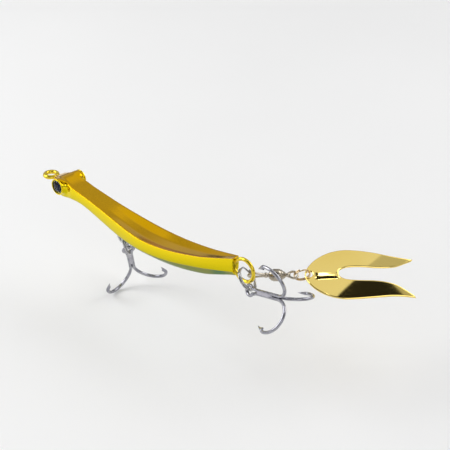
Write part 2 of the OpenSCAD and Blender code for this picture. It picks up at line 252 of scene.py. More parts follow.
# ---- materials ----
class Graph:
    """The nodes of a material or of the world, with helpers that add to them."""

    def __init__(self, tree):
        self.nodes, self.links = tree.nodes, tree.links

    def span(self, output, low, high, from_low=0.3, from_high=0.7, shape="LINEAR"):
        """Rescales a factor to run from low to high."""
        node = self.nodes.new("ShaderNodeMapRange")
        node.interpolation_type = shape
        ends = {"From Min": from_low, "From Max": from_high, "To Min": low, "To Max": high}
        for socket, value in ends.items():
            node.inputs[socket].default_value = value
        self.links.new(output, node.inputs["Value"])
        return node.outputs["Result"]

    def ramp(self, output, stops):
        """A colour ramp with stops of (place, colour)."""
        node = self.nodes.new("ShaderNodeValToRGB")
        band = node.color_ramp
        for place, colour in stops:
            stop = band.elements.new(place)
            stop.color = (*colour, 1)
        band.elements.remove(band.elements[0])
        band.elements.remove(band.elements[-1])
        self.links.new(output, node.inputs["Fac"])
        return node.outputs["Color"]

    def mix(self, factor, first, second):
        """Mixes two colours, each an output or three numbers, by a factor output."""
        node = self.nodes.new("ShaderNodeMix")
        node.data_type = "RGBA"
        self.links.new(factor, node.inputs["Factor"])
        for socket, value in (("A", first), ("B", second)):
            target = next(s for s in node.inputs if s.name == socket and s.type == "RGBA")
            if isinstance(value, tuple):
                target.default_value = (*value, 1)
            else:
                self.links.new(value, target)
        return next(s for s in node.outputs if s.type == "RGBA")

    def combine(self, operation, first, second):
        """A sum, product or other operation on an output and a second output or number."""
        node = self.nodes.new("ShaderNodeMath")
        node.operation = operation
        self.links.new(first, node.inputs[0])
        if isinstance(second, float):
            node.inputs[1].default_value = second
        else:
            self.links.new(second, node.inputs[1])
        return node.outputs["Value"]


class Surface(Graph):
    """A principled material with helpers for what feeds it."""

    def __init__(self, name, colour, metallic, roughness):
        self.material = bpy.data.materials.new(name)
        self.material.use_nodes = True
        super().__init__(self.material.node_tree)
        self.shader = self.nodes["Principled BSDF"]
        self.set("Base Color", (*colour, 1))
        self.set("Metallic", metallic)
        self.set("Roughness", roughness)
        self.coordinates = self.nodes.new("ShaderNodeTexCoord").outputs["Object"]

    def set(self, socket, value):
        self.shader.inputs[socket].default_value = value

    def join(self, output, socket):
        self.links.new(output, self.shader.inputs[socket])

    def noise(self, per_mm, detail=3.0):
        """Noise with about per_mm waves in a millimetre."""
        mapping = self.nodes.new("ShaderNodeMapping")
        mapping.inputs["Scale"].default_value = [per_mm / MM] * 3
        texture = self.nodes.new("ShaderNodeTexNoise")
        texture.inputs["Scale"].default_value = 1.0
        texture.inputs["Detail"].default_value = detail
        self.links.new(self.coordinates, mapping.inputs["Vector"])
        self.links.new(mapping.outputs["Vector"], texture.inputs["Vector"])
        return texture.outputs["Fac"]

    def bump(self, height, strength, depth_mm):
        node = self.nodes.new("ShaderNodeBump")
        node.inputs["Strength"].default_value = strength
        node.inputs["Distance"].default_value = depth_mm * MM
        self.links.new(height, node.inputs["Height"])
        self.join(node.outputs["Normal"], "Normal")


def varied(name, metallic, dark, light, tint, gloss, relief=None):
    """A material that noise takes from one colour to another, and from one roughness to another.

    tint, gloss and relief each start with the noise's waves in a millimetre and its detail, and end
    with the part of the noise's range that is used, the roughnesses, or the bump's strength and depth.
    """
    made = Surface(name, light, metallic, gloss[2])
    made.join(made.mix(made.span(made.noise(*tint[:2]), 0.0, 1.0, *tint[2:]), dark, light), "Base Color")
    made.join(made.span(made.noise(*gloss[:2]), *gloss[2:]), "Roughness")
    if relief:
        made.bump(made.noise(*relief[:2]), *relief[2:])
    return made


def plated(name, light, dark, roughness):
    """Plated metal: slow colour variation, fine marks in its gloss and a faint uneven surface."""
    tint, relief = (0.35, 3.0, 0.3, 0.7), (3.0, 4.0, 0.12, 0.02)
    gloss = (2.5, 5.0, roughness * 0.6, roughness * 1.5)
    return varied(name, 1.0, dark, light, tint, gloss, relief).material


# the back's darker amber, where it faces up, is partly the plating's own tone and partly painted shade
AMBER = (0.74, 0.415, 0.003)
DEEP_AMBER = (0.70, 0.385, 0.002)
YELLOW = (0.86, 0.66, 0.012)
# darker lime for the flank's lower part, where it faces down: painted shade
SHADED_LIME_YELLOW = (0.64, 0.53, 0.002)
TEAL = (0.04, 0.20, 0.17)
PALE_TEAL = (0.34, 0.34, 0.14)
EDGE_TINT = (0.50, 0.57, 0.43)  # tint of the keel's gloss at a grazing angle
PLAIN = (1.0, 1.0, 1.0)


def cast_gold():
    """Tinted plating whose colour follows the mesh's zone attribute, from the back to the keel. Its
    darker amber back is partly painted shade, and its darker lime flank foot is painted shade.
    """
    made = Surface("cast_gold", YELLOW, 1.0, 0.16)
    zone = made.nodes.new("ShaderNodeAttribute")
    zone.attribute_name = "zone"
    where = zone.outputs["Fac"]
    # darker amber where the back faces up: partly its own tone, partly painted shade
    back = made.mix(made.span(made.noise(0.12), 0.0, 1.0), AMBER, DEEP_AMBER)
    keel = made.mix(made.span(made.noise(0.09, 2.0), 0.0, 1.0, 0.4, 0.6), TEAL, PALE_TEAL)
    # the flank goes from yellow to a darker lime as it turns downwards: painted shade
    flank = made.ramp(where, [(0.45, YELLOW), (0.56, SHADED_LIME_YELLOW)])
    on_back = made.span(where, 1.0, 0.0, from_low=0.05, from_high=0.38)
    on_keel = made.span(where, 0.0, 1.0, from_low=0.68, from_high=0.92)
    made.join(made.mix(on_keel, made.mix(on_back, flank, back), keel), "Base Color")
    made.join(made.span(made.noise(1.4, 5.0), 0.10, 0.22), "Roughness")
    made.bump(made.noise(0.8), strength=0.05, depth_mm=0.03)
    made.join(made.mix(on_keel, PLAIN, EDGE_TINT), "Specular Tint")
    return made.material


def clear_lens():
    """Clear plastic with a slightly uneven polish."""
    made = Surface("clear_lens", (0.97, 0.99, 1.0), 0.0, 0.0)
    made.set("Transmission Weight", 1.0)
    made.set("IOR", 1.34)
    made.join(made.span(made.noise(1.5), 0.0, 0.03), "Roughness")
    return made.material


def eye_foil():
    """Reflective foil with a fine speckle."""
    dark, light = (0.30, 0.38, 0.34), (0.66, 0.70, 0.58)
    tint, gloss, relief = (2.2, 4.0, 0.35, 0.6), (4.0, 3.0, 0.15, 0.35), (2.2, 4.0, 0.3, 0.05)
    return varied("eye_foil", 1.0, dark, light, tint, gloss, relief).material


def pupil_black():
    """Black enamel with a hint of blue, and little gloss of its own under the lens."""
    black, blue = (0.004, 0.004, 0.008), (0.02, 0.03, 0.09)
    made = varied("pupil_black", 0.0, black, blue, (0.9, 2.0, 0.4, 0.7), (3.0, 3.0, 0.08, 0.2))
    made.set("Specular IOR Level", 0.08)
    return made.material


def blade_gold():
    """Mirror-polished pale gold with a faint cloudiness."""
    dark, light = (0.90, 0.68, 0.19), (0.94, 0.73, 0.23)
    tint, gloss, relief = (0.05, 2.0, 0.35, 0.65), (2.0, 5.0, 0.045, 0.10), (0.9, 2.0, 0.03, 0.02)
    return varied("blade_gold", 1.0, dark, light, tint, gloss, relief).material


GOLD_WIRE = plated("gold_wire", (0.86, 0.66, 0.06), (0.70, 0.50, 0.03), 0.17)
STEEL_WIRE = plated("steel_wire", (0.62, 0.62, 0.62), (0.48, 0.48, 0.48), 0.25)
RING_STEEL = plated("ring_steel", (0.58, 0.57, 0.57), (0.36, 0.36, 0.36), 0.14)
HOOK_STEEL = plated("hook_steel", (0.44, 0.44, 0.48), (0.27, 0.27, 0.31), 0.17)
BRAZE = plated("braze", (0.52, 0.51, 0.56), (0.40, 0.39, 0.44), 0.30)
SWIVEL_WIRE = plated("swivel_wire", (0.62, 0.57, 0.48), (0.36, 0.31, 0.24), 0.14)
BARREL_METAL = plated("barrel_metal", (0.52, 0.47, 0.39), (0.30, 0.26, 0.20), 0.17)
SMALL_RING = plated("small_ring", (0.74, 0.58, 0.36), (0.44, 0.31, 0.16), 0.15)


# ---- casting ----
# Stations along the casting: x, back height, half width, lower edge of the side, keel height
BODY_END = box("body_casting")[1].x
STATIONS = [
    (3.2, 0.9, 1.3, -1.0, -1.3),
    (5, 1.7, 2.6, -2.2, -2.8),
    (8, 2.3, 3.5, -3.4, -4.5),
    (12, 1.5, 3.4, -3.0, -4.5),
    (18, 0.4, 3.2, -3.1, -4.6),
    (27, -1.25, 3.5, -5.3, -6.6),
    (37, -3.0, 4.3, -7.3, -9.4),
    (47, -4.1, 4.9, -7.9, -11.0),
    (58, -3.45, 4.3, -7.1, -10.6),
    (69, -1.5, 3.1, -5.1, -8.3),
    (76, 0.4, 2.0, -3.6, -5.6),
    (BODY_END, 1.6, 1.3, -2.6, -4.1),
]
DISH_FROM, DISH_TO, DISH_DEPTH = 31.0, 79.3, 0.95
HEAD_DOME, DOME_REACH = 0.40, 2.6  # how far the head stands up between the eyes, and its spread
NECK_FROM, NECK_LEN = 9.0, 17.0  # where the long edges fade in behind the head

# Where the cage's rings stand. The eye stalks grow out of the rings from STALK_FROM to STALK_TO.
FRONT_RINGS = (3.2, 3.8, 4.7)
STALK_RINGS = (6.1, 7.4, 8.8, 10.2, 11.5)
REAR_RINGS = (
    13.2, 15.2, 18, 22, 26, 30, 33.5, 37, 41, 45, 49, 53, 57, 61, 65, 69, 72.5, 75.5, 78.3, BODY_END,
)
STALK_FROM = len(FRONT_RINGS)
STALK_TO = STALK_FROM + len(STALK_RINGS) - 1
# Places round half a ring, as half_section lists them
DISH_EDGE, LIP, RIM, SKIRT, FOOT, KEEL_EDGE, KEEL_LINE = 1, 3, 4, 7, 8, 10, 11
RING_SIZE = 2 * KEEL_LINE
# How sharp the casting's long edges and its two ends are
LONG_EDGES = {RIM: 0.80, FOOT: 0.60, KEEL_EDGE: 0.35, LIP: 0.50, DISH_EDGE: 0.35}
TAIL_END, NOSE_END = 0.75, 0.5
SMOOTHING = 3  # subdivision level

EYE_X, EYE_Z, EYE_R = 8.8, 0.3, 2.15
SOCKET_FLOOR = 4.1
# The root of each eye stalk: how far out it starts, and its reach along, above and below the eye's axis
ROOT_OUT, ROOT_ALONG, ROOT_UP, ROOT_DOWN = 3.15, 3.25, 2.45, 3.2
ROOT_IN_ABOVE, ROOT_IN_BELOW = 0.55, 0.05  # how much less far out it starts at its top and foot
FIRST_CORNER = 135  # the angle of the stalk loops' first vertex
CUT_TURN = 0.35  # how far the cut in a stalk's rear is turned about the eye's axis
CAGE_GAIN = 1.026  # a smoothed 16-sided cage loop ends up this much smaller
# Loops that make each eye stalk: distance out, radius, sharpness, and how far its rear is cut in
STALK_LOOPS = [
    (3.75, 2.66, 0.0, 0.0),
    (4.22, 2.56, 0.0, 0.10),
    (4.38, 2.50, 0.0, 0.28),
    (4.52, 2.56, 0.4, 0.16),
    (4.60, 2.62, 0.4, 0.0),
    (4.82, 2.61, 0.4, 0.0),
    (4.90, 2.48, 0.2, 0.0),
    (4.88, 2.28, 0.5, 0.0),
    (4.55, 2.19, 0.0, 0.0),
    (4.06, 2.19, 1.0, 0.0),
    (4.06, 1.10, 0.0, 0.0),
]


def body_at(x):
    """Back height, half width, side's lower edge and keel height at x."""
    for i in range(len(STATIONS) - 1):
        if x <= STATIONS[i + 1][0]:
            break
    share = (x - STATIONS[i][0]) / (STATIONS[i + 1][0] - STATIONS[i][0])
    return between([Vector(station[1:]) for station in STATIONS], i, share)


def half_section(x):
    """One side of the cage's ring at x, from the middle of the back to the keel, as (y, z)."""
    top, wide, low, keel = body_at(x)
    top += HEAD_DOME * math.exp(-(((x - EYE_X) / DOME_REACH) ** 2))
    turn = (x - DISH_FROM) / (DISH_TO - DISH_FROM)
    depth = DISH_DEPTH * math.sin(math.pi * turn) ** 0.5 if 0 < turn < 1 else 0.0
    return [
        (0, top - depth),  # middle of the dish
        (0.36 * wide, top - depth),  # DISH_EDGE
        (0.61 * wide, top - 0.52 * depth),
        (0.87 * wide, top),  # LIP
        (0.985 * wide, top),  # RIM
        (wide + 0.04, top - 0.4),
        (wide + 0.16, (top + low) / 2),  # the flank bulges a little
        (wide + 0.04, low + 0.45),  # SKIRT
        (0.95 * wide, low - 0.02),  # FOOT
        (0.5 * wide, low + 0.66 * (keel - low)),
        (0.13 * wide, keel),  # KEEL_EDGE
        (0, keel - 0.02),  # KEEL_LINE
    ]


def stalk_root(x, index):
    """Where the cage's vertex at ring x and this index stands on the root of an eye stalk."""
    across = (STALK_RINGS.index(x) - (len(STALK_RINGS) - 1) / 2) / 2
    down = (index - (LIP + SKIRT) / 2) / 2
    angle = math.atan2(-down, across)
    rise = math.sin(angle)
    reach, less = (ROOT_UP, ROOT_IN_ABOVE) if rise > 0 else (ROOT_DOWN, ROOT_IN_BELOW)
    return EYE_X + ROOT_ALONG * math.cos(angle), ROOT_OUT - less * abs(rise), EYE_Z + reach * rise


def lay_rings(cage, xs):
    """The cage's vertices, ring by ring, with None where an eye stalk grows out."""
    grid = []
    for i, x in enumerate(xs):
        half = half_section(x)
        ring = []
        for j in range(RING_SIZE):
            index, side = (j, 1) if j <= KEEL_LINE else (RING_SIZE - j, -1)
            if STALK_FROM < i < STALK_TO and LIP < index < SKIRT:
                ring.append(None)
                continue
            spot = (x, *half[index])
            if STALK_FROM <= i <= STALK_TO and LIP <= index <= SKIRT:
                spot = stalk_root(x, index)
            ring.append(cage.verts.new(Vector((spot[0], side * spot[1], spot[2])) * MM))
        grid.append(ring)
    return grid


def lay_faces(cage, grid):
    """Joins the rings and closes both ends."""
    for i in range(len(grid) - 1):
        for j in range(RING_SIZE):
            index = min(j, RING_SIZE - 1 - j)
            if STALK_FROM <= i < STALK_TO and LIP <= index < SKIRT:
                continue
            k = (j + 1) % RING_SIZE
            cage.faces.new((grid[i][j], grid[i][k], grid[i + 1][k], grid[i + 1][j]))
    cage.faces.new(grid[0][::-1])
    cage.faces.new(grid[-1])


def sharpen(cage, a, b, amount):
    edge = cage.edges.get((a, b))
    if edge:
        edge[cage.edges.layers.float["crease_edge"]] = amount


def sharpen_body(cage, grid, xs):
    """Creases both ends and the long edges, which fade in behind the head."""
    for i in range(STALK_TO, len(xs) - 1):
        fade = smooth((xs[i] - NECK_FROM) / NECK_LEN)
        for index, amount in LONG_EDGES.items():
            for j in (index, RING_SIZE - index):
                sharpen(cage, grid[i][j], grid[i + 1][j], amount * fade)
    for j in range(RING_SIZE):
        k = (j + 1) % RING_SIZE
        sharpen(cage, grid[-1][j], grid[-1][k], TAIL_END)
        sharpen(cage, grid[0][j], grid[0][k], NOSE_END)


def stalk_opening(grid, side):
    """The loop of vertices round the place that an eye stalk grows out of."""
    block = [(i, LIP) for i in range(STALK_FROM, STALK_TO)]
    block += [(STALK_TO, index) for index in range(LIP, SKIRT)]
    block += [(i, SKIRT) for i in range(STALK_TO, STALK_FROM, -1)]
    block += [(STALK_FROM, index) for index in range(SKIRT, LIP, -1)]
    return [grid[i][j if side > 0 else RING_SIZE - j] for i, j in block]


def grow_stalk(cage, loop, side):
    """Grows an eye stalk out of a loop, loop by loop, down to the floor of its socket."""
    n = len(loop)
    angles = [math.radians(FIRST_CORNER - 360 / n * i) for i in range(n)]
    for out, radius, amount, cut in STALK_LOOPS:
        ring = []
        for a in angles:
            r = radius * CAGE_GAIN - cut * max(0.0, math.cos(a + CUT_TURN))
            spot = Vector((EYE_X + r * math.cos(a), side * out, EYE_Z + r * math.sin(a)))
            ring.append(cage.verts.new(spot * MM))
        for j in range(n):
            k = (j + 1) % n
            cage.faces.new((loop[j], loop[k], ring[k], ring[j]))
            sharpen(cage, ring[j], ring[k], amount)
        loop = ring
    cage.faces.new(loop)


def make_cage(cage):
    """Fills an empty bmesh with the casting's control cage."""
    cage.edges.layers.float.new("crease_edge")
    xs = FRONT_RINGS + STALK_RINGS + REAR_RINGS
    grid = lay_rings(cage, xs)
    lay_faces(cage, grid)
    sharpen_body(cage, grid, xs)
    for side in (1, -1):
        grow_stalk(cage, stalk_opening(grid, side), side)
    bmesh.ops.recalc_face_normals(cage, faces=cage.faces)


# Zones: 0 amber back, 0.4 to 0.6 yellow flank, 1 blue-green keel; picked mostly by which way the surface
# faces, which paints shade on the back and the flank's foot
FLANK_TOP, FLANK_FOOT = 0.4, 0.6
EYE_RIM_ZONE, EYE_RIM_OUT, HEAD_END = 0.42, 4.45, 13
FLANK_SLOPE = 0.3  # a normal that rises or falls by less than this is on the flank
BACK_BLEND, KEEL_BLEND = 0.35, 0.15
KEEL_FROM, KEEL_FADE = 22, 12


def zone_of(point, normal):
    """The zone of a point of the casting, which chooses its colour."""
    x, out = point.x / MM, abs(point.y) / MM
    if out > EYE_RIM_OUT and x < HEAD_END:
        return EYE_RIM_ZONE
    # upward facing is the amber back, partly its own tone and partly painted shade
    if normal.z >= FLANK_SLOPE:
        return FLANK_TOP * (1 - smooth((normal.z - FLANK_SLOPE) / BACK_BLEND))
    # sideways to downward facing is the flank, darkening towards its foot as painted shade
    if normal.z >= -FLANK_SLOPE:
        share = (FLANK_SLOPE - normal.z) / (2 * FLANK_SLOPE)
        return FLANK_TOP + (FLANK_FOOT - FLANK_TOP) * share
    under = smooth((-FLANK_SLOPE - normal.z) / KEEL_BLEND)
    return FLANK_FOOT + (1 - FLANK_FOOT) * under * smooth((x - KEEL_FROM) / KEEL_FADE)


def make_casting():
    """Smooths the cage into the cast body and gives each vertex its zone."""
    cage = bmesh.new()
    make_cage(cage)
    mesh = bpy.data.meshes.new("cast_cage")
    cage.to_mesh(mesh)
    cage.free()
    source = add_object("cast_cage", mesh)
    smoother = source.modifiers.new("smooth", "SUBSURF")
    smoother.levels = SMOOTHING
    bpy.context.view_layer.update()
    smoothed = source.evaluated_get(bpy.context.evaluated_depsgraph_get())
    finished = bpy.data.meshes.new_from_object(smoothed)
    bpy.data.objects.remove(source)
    finished.name = "cast_body"
    finished.shade_smooth()
    zone = finished.attributes.new("zone", "FLOAT", "POINT")
    zone.data.foreach_set("value", [zone_of(v.co, v.normal) for v in finished.vertices])
    finished.materials.append(cast_gold())
    stand_in("cast_body", finished, "lure_body", "body_casting")


# ---- eyes ----
BACKING_T, PUPIL_T, LENS_RISE = 0.35, 0.12, 0.85
RIPPLES, RIPPLE = 9, 0.02  # rings pressed into the foil, and their half height
AXIS_R = 0.02  # a turned profile starts this far off its axis
EYE_SIDES = 96


def disc_profile(face):
    rim = EYE_R - 0.03
    profile = [(SOCKET_FLOOR, AXIS_R), (SOCKET_FLOOR, rim), (SOCKET_FLOOR + 0.05, EYE_R)]
    for r in steps(rim, AXIS_R, 60):
        profile.append((face - RIPPLE + RIPPLE * math.cos(RIPPLES * math.pi * r / EYE_R), r))
    return profile


def pupil_profile(face, radius):
    back, front = face + TOUCH, face + PUPIL_T
    edge = [(front - 0.03, radius), (front, radius - 0.04)]
    return [(back, AXIS_R), (back, radius), *edge, (front, AXIS_R)]


def lens_profile(face, pupil_r):
    """A dome over a pocket, which is sunk a little into the pupil and the disc."""
    floor, foot, inner_r = face + PUPIL_T - SUNK, face - 2 * SUNK, pupil_r - SUNK
    pocket = [(floor, AXIS_R), (floor, inner_r), (foot, inner_r), (foot, EYE_R - 0.02)]
    dome_r = (EYE_R ** 2 + LENS_RISE ** 2) / (2 * LENS_RISE)
    half_turn = math.degrees(math.asin(EYE_R / dome_r))
    return pocket + arc(face + LENS_RISE - dome_r, dome_r - TOUCH, half_turn, 0.4, 20)


def make_eyes():
    foil, black, lens = eye_foil(), pupil_black(), clear_lens()
    low, high = box("left_eye_pupil")
    pupil_r = (high.x - low.x) / 2
    face = SOCKET_FLOOR + BACKING_T
    for eye, side in (("left_eye", -1), ("right_eye", 1)):
        place = Place((EYE_X, 0, EYE_Z), (0, side, 0), (0, 0, -1))
        disc = lathe(disc_profile(face), place, EYE_SIDES)
        dot = lathe(pupil_profile(face, pupil_r), place, EYE_SIDES)
        dome = lathe(lens_profile(face, pupil_r), place, EYE_SIDES)
        piece(f"{eye}_disc", [disc], foil, "lure_body", f"{eye}_backing")
        piece(f"{eye}_dot", [dot], black, "lure_body", f"{eye}_pupil")
        piece(f"{eye}_dome", [dome], lens, "lure_body", f"{eye}_lens")


# ---- cast-in wires ----
NOSE_R, NOSE_WIRE = 2.0, 0.68
# The nose ring's stem: distance out from the ring's wire or back from the stem's end, and radius
STEM_ROOT = [(-0.1, 0.5), (0.3, 0.66), (0.9, 0.70), (1.5, 0.62)]
STEM_TIP = [(0.3, 0.62), (0.05, 0.45), (0, 0.1)]


def make_nose_ring():
    """A closed ring round the frame's origin, with a stem into the head."""
    ring = torus(Place((0, 0, 0), (0, 0, 1), (1, 0, 0)), NOSE_R, NOSE_WIRE)
    stem_end = box("line_tie_eye")[1].x
    profile = [(NOSE_R + x, r) for x, r in STEM_ROOT] + [(stem_end - x, r) for x, r in STEM_TIP]
    stem = lathe(profile, Place((0, 0, 0), (1, 0, 0), (0, 0, -1)), 32)
    piece("nose_ring", [ring, stem], GOLD_WIRE, "lure_body", "line_tie_eye")


def make_hanger():
    """A U of wire under the belly with both legs cast in."""
    low, high = box("belly_hanger")
    radius = (high.y - low.y) / 2
    bend = (high.x - low.x) / 2 - radius
    centre = Vector(((low.x + high.x) / 2, 0, low.z + radius + bend))
    leg = high.z - centre.z
    line = [(-bend, leg), *arc(0, bend, 180, 360, 30), (bend, leg)]
    path = [centre + Vector((x, 0, z)) for x, z in line]
    shell = round_wire(path, (0, 1, 0), radius - TOUCH)
    piece("belly_wire", [shell], STEEL_WIRE, "lure_body", "belly_hanger")


TAIL_LOOP_R, TAIL_WIRE, TAIL_HALF, TAIL_LOOP_Z = 3.4, 0.55, 138, -1.2
TAIL_LEG_HALF = 0.3  # half the distance between the loop's legs where they enter the casting
TAIL_LEG_END, TAIL_STEM_END = 0.1, 0.9  # how far short of the legs' meeting point they stop
TAIL_STEM_LEN, TAIL_STEM_DIP = 8.5, math.radians(18)
TWIST_R, TWIST_RATE = 0.42, 1.6  # radius of each twisted wire, and radians of twist in a millimetre


def make_tail_loop():
    """A wire loop whose legs meet and carry on into the casting as a twisted stem."""
    high = box("tail_loop")[1]
    centre = Vector((high.x - TAIL_LOOP_R - TAIL_WIRE, 0, TAIL_LOOP_Z))
    meet = TAIL_LOOP_R / math.cos(math.radians(180 - TAIL_HALF))
    bow = arc(0, TAIL_LOOP_R, TAIL_HALF, -TAIL_HALF, 80)
    leg_end = TAIL_LEG_END - meet
    line = [(leg_end, TAIL_LEG_HALF), *bow, (leg_end, -TAIL_LEG_HALF)]
    shells = [round_wire([centre + Vector((x, 0, z)) for x, z in line], (0, 1, 0), TAIL_WIRE)]
    along = (-math.cos(TAIL_STEM_DIP), 0, -math.sin(TAIL_STEM_DIP))
    stem = Place(centre + Vector((TAIL_STEM_END - meet, 0, 0)), along, (0, 1, 0))
    for turn in (0, math.pi):
        helix = []
        for x in steps(0, TAIL_STEM_LEN, 60):
            a = turn + x * TWIST_RATE
            helix.append(stem.at((x, TWIST_R * math.cos(a), TWIST_R * math.sin(a))))
        shells.append(round_wire(helix, (0, 1, 0), TWIST_R))
    piece("tail_wire", shells, GOLD_WIRE, "lure_body", "tail_loop")


# ---- split rings ----
RING_R, RING_WIRE = 3.35, 0.56
BLADE_RING_R, BLADE_RING_WIRE = 2.2, 0.44
RING_TRIM = 0.03  # keeps the round wire inside the CAD's many-sided one
JOG = 60  # degrees that the wire takes to step from one turn to the other


def split_ring(place, radius, wire_d):
    """Two flat turns of round wire joined by one jog, in the place's XY plane."""
    path = []
    for degrees in steps(JOG / 2, 720 - JOG / 2, 264):
        a = math.radians(degrees)
        side = smooth((degrees - 360 + JOG / 2) / JOG) * 2 - 1
        lift = side * (wire_d + TOUCH) / 2
        path.append(place.at((radius * math.cos(a), radius * math.sin(a), lift)))
    return round_wire(path, place.z, wire_d / 2 - RING_TRIM)


BELLY_NORMAL, BELLY_HOOK_SIDE = (0.60, 0.75, 0.26), (-0.34, 0.54, -0.77)
TAIL_NORMAL, TAIL_HOOK_SIDE = (0.70, 0.35, 0.62), (0.71, -0.44, -0.56)
BELLY_JOG = Vector(BELLY_HOOK_SIDE).cross(Vector(BELLY_NORMAL))
TAIL_JOG = -Vector(TAIL_HOOK_SIDE)


def make_hook_ring(name, normal, hook_side, jog):
    """The split ring that carries a treble. Its jog lies away from where the hook hangs."""
    centre = joint_at(f"{name}_treble_swing") - RING_R * flat(hook_side, normal)
    place = Place(centre, flat(jog, normal), -Vector(normal))
    ring = split_ring(place, RING_R, RING_WIRE)
    piece(f"{name}_ring_coil", [ring], RING_STEEL, f"{name}_ring", f"{name}_split_ring")


# ---- treble hooks ----
HOOK_WIRE = 0.95
BUNDLE_R = (HOOK_WIRE + TOUCH) / math.sqrt(3)  # from the shank's axis to each of its three wires
SHANK_FROM, SHANK_TO = 3.2, 11.4
BEND_CENTRE, BEND_R, BEND_STRETCH, BEND_STEPS = 12.9, 5.0, 1.04, 60
POINT_LEN, POINT_TILT, TILT_LEN, TIP_R = 3.5, math.radians(21), 1.2, 0.02
BARB_AT, BARB_END, BARB_DEPTH = 1.0, 2.3, 0.42
TAPER = 1.3  # how full the point is
EYE_LOOP_R, LOOP_OPEN = 1.45, 38
EYE_SLACK = 0.25  # from where two wires cross to the centre of the loop that hangs there
HOOK_ANGLES = (60, -60, 180)  # the two hooks of the pair, and the single one, round the shank
HOOK_TRIM = 0.997  # keeps the round wires inside the CAD's many-sided ones
BELLY_SHANK, BELLY_SINGLE, BELLY_SIZE = (-0.41, 0.44, -0.80), (-0.75, 0.33, 0.57), 1.13
TAIL_SHANK, TAIL_SINGLE = (0.93, -0.19, 0.31), (0.26, 0.94, -0.21)


def hook_line():
    """Side view of one hook: (along the shank, off the axis, radius, barb lift) up to the tip."""
    wire_r = HOOK_WIRE / 2
    rows = [(x, BUNDLE_R, wire_r, 0.0) for x in steps(SHANK_FROM, SHANK_TO, 16)]
    for a in steps(0, math.pi, BEND_STEPS):
        x = BEND_CENTRE + BEND_R * BEND_STRETCH * math.sin(a)
        rows.append((x, BUNDLE_R + (BEND_R - BUNDLE_R / 2) * (1 - math.cos(a)), wire_r, 0.0))
    marks = [*steps(0.15, BARB_AT - 0.12, 6), BARB_AT - 0.02, *steps(BARB_AT, POINT_LEN, 24)]
    for t in marks:
        tilt = POINT_TILT * smooth(t / TILT_LEN)
        radius, lift = wire_r, 0.0
        if t >= BARB_AT:
            past = (t - BARB_AT) / (POINT_LEN - BARB_AT)
            radius = TIP_R + (wire_r - TIP_R) * (1 - past ** TAPER)
            lift = BARB_DEPTH * (1 - smooth((t - BARB_AT) / (BARB_END - BARB_AT)))
        rows.append((BEND_CENTRE - t * math.cos(tilt), 2 * BEND_R - t * math.sin(tilt), radius, lift))
    return rows


def hook_rows(place, degrees):
    """(point, inward direction, radius, lift) along one hook that stands at an angle from +Z."""
    line = hook_line()
    a = math.radians(degrees)
    last = len(line) - 1
    rows = []
    for i, (x, off, radius, lift) in enumerate(line):
        ahead, behind = line[min(last, i + 1)], line[max(0, i - 1)]
        run, rise = ahead[0] - behind[0], ahead[1] - behind[1]
        inward = place.turn((-rise, run * math.sin(a), run * math.cos(a)))
        point = place.at((x, off * math.sin(a), off * math.cos(a)))
        rows.append((point, inward, radius * place.scale, lift * place.scale))
    return rows


def eye_rows(place):
    """The eye loop between the two paired shanks."""
    rows = []
    for degrees in steps(LOOP_OPEN, 360 - LOOP_OPEN, 60):
        a = math.radians(degrees)
        out = (math.cos(a), math.sin(a), 0)
        point = place.at((EYE_LOOP_R * out[0], EYE_LOOP_R * out[1], BUNDLE_R / 2))
        rows.append((point, -place.turn(out), HOOK_WIRE / 2 * place.scale, 0.0))
    return rows


def eased(first, second):
    """Rows on a smooth path from the end of one run of rows to the start of the next."""
    ends = [first[-3], first[-1], second[0], second[2]]
    made = []
    for t in steps(0, 1, 5)[1:-1]:
        point, inward = (between([row[k] for row in ends], 1, t) for k in (0, 1))
        made.append((point, inward, first[-1][2], 0.0))
    return made


def swept(rows):
    points, sides, radii, lifts = zip(*rows)
    return wire(points, sides, radii, lifts, 24)


BRAZE_FROM, BRAZE_TO = 3.4, 10.4
BRAZE_R, BRAZE_LOBE, BRAZE_SIDES = 0.84, 0.10, 48
BRAZE_LEAD_IN, BRAZE_LEAD_OUT, BRAZE_END = 0.8, 1.8, 0.55  # rounded ends, down to this share


def braze_shell(place):
    """A three-lobed sleeve that fills the grooves between the shanks."""
    rings = []
    for x in steps(BRAZE_FROM, BRAZE_TO, 28):
        end = min((x - BRAZE_FROM) / BRAZE_LEAD_IN, (BRAZE_TO - x) / BRAZE_LEAD_OUT, 1.0)
        full = BRAZE_END + (1 - BRAZE_END) * math.sqrt(max(0.0, 1 - (1 - end) ** 2))
        ring = []
        for a in circle(BRAZE_SIDES):
            r = (BRAZE_R + BRAZE_LOBE * math.cos(3 * (a - math.pi / 3))) * full
            ring.append(place.at((x, r * math.sin(a), r * math.cos(a))))
        rings.append(ring)
    return loft(rings)


def make_treble(name, shank, single, scale):
    """A bent wire with two points and the eye, a third hook, and the braze between them."""
    at = joint_at(f"{name}_treble_swing") + EYE_SLACK * Vector(shank).normalized()
    place = Place(at, shank, single, scale)
    first, second, third = (hook_rows(place, degrees) for degrees in HOOK_ANGLES)
    loop = eye_rows(place)
    first.reverse()
    pair = swept([*first, *eased(first, loop), *loop, *eased(loop, second), *second])
    body = f"{name}_treble"
    piece(f"{name}_hook_pair", [pair], HOOK_STEEL, body, f"{body}_pair")
    piece(f"{name}_hook_single", [swept(third)], HOOK_STEEL, body, f"{body}_single")
    piece(f"{name}_hook_braze", [braze_shell(place)], BRAZE, body, f"{body}_braze")


